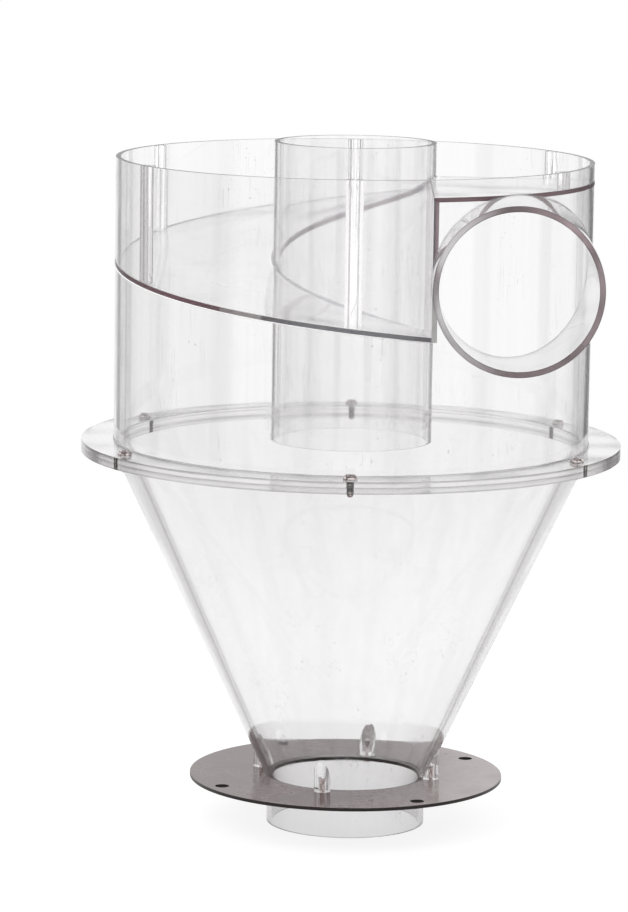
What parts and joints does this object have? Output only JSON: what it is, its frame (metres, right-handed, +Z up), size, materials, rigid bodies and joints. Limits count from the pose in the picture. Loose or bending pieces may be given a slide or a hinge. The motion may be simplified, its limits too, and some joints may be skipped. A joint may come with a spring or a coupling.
{
  "type": "cyclone dust separator",
  "caption": "Clear plastic cyclone dust separator: tangential inlet, spiral roof, central outlet tube, cone and dust spigot with a mounting disc.",
  "frame": {"origin": "on the separator's axis, at the dust spigot's bottom end", "axes": "+Z up along the axis, -Y out of the inlet's mouth, +X towards the side that the inlet is on"},
  "size_m": [0.325, 0.3375, 0.415],
  "materials": {
    "clear_plastic": "clear, polished",
    "disc_plastic": "dark smoky brown, glossy",
    "screw_steel": "bright plated steel",
    "screw_copper": "copper coloured plating on steel"
  },
  "bodies": {
    "root": {"barrel_wall": "clear_plastic", "rim_wall": "clear_plastic", "spiral_roof": "clear_plastic", "roof_step_wall": "clear_plastic", "vortex_tube": "clear_plastic", "inlet_tube": "clear_plastic", "upper_flange": "clear_plastic", "lower_flange": "clear_plastic", "cone_wall": "clear_plastic", "dust_spigot": "clear_plastic", "rim_boss_1": "clear_plastic", "rim_boss_2": "clear_plastic", "rim_boss_3": "clear_plastic", "rim_boss_4": "clear_plastic", "rim_boss_5": "clear_plastic", "rim_boss_6": "clear_plastic", "cone_boss_1": "clear_plastic", "cone_boss_2": "clear_plastic", "cone_boss_3": "clear_plastic", "cone_boss_4": "clear_plastic", "mounting_disc": "disc_plastic", "flange_screw_1": "screw_steel", "flange_screw_2": "screw_steel", "flange_screw_3": "screw_steel", "flange_screw_4": "screw_steel", "flange_screw_5": "screw_steel", "flange_screw_6": "screw_steel", "disc_screw_1": "screw_copper", "disc_screw_2": "screw_copper", "disc_screw_3": "screw_copper", "disc_screw_4": "screw_copper"}
  },
  "joints": []
}
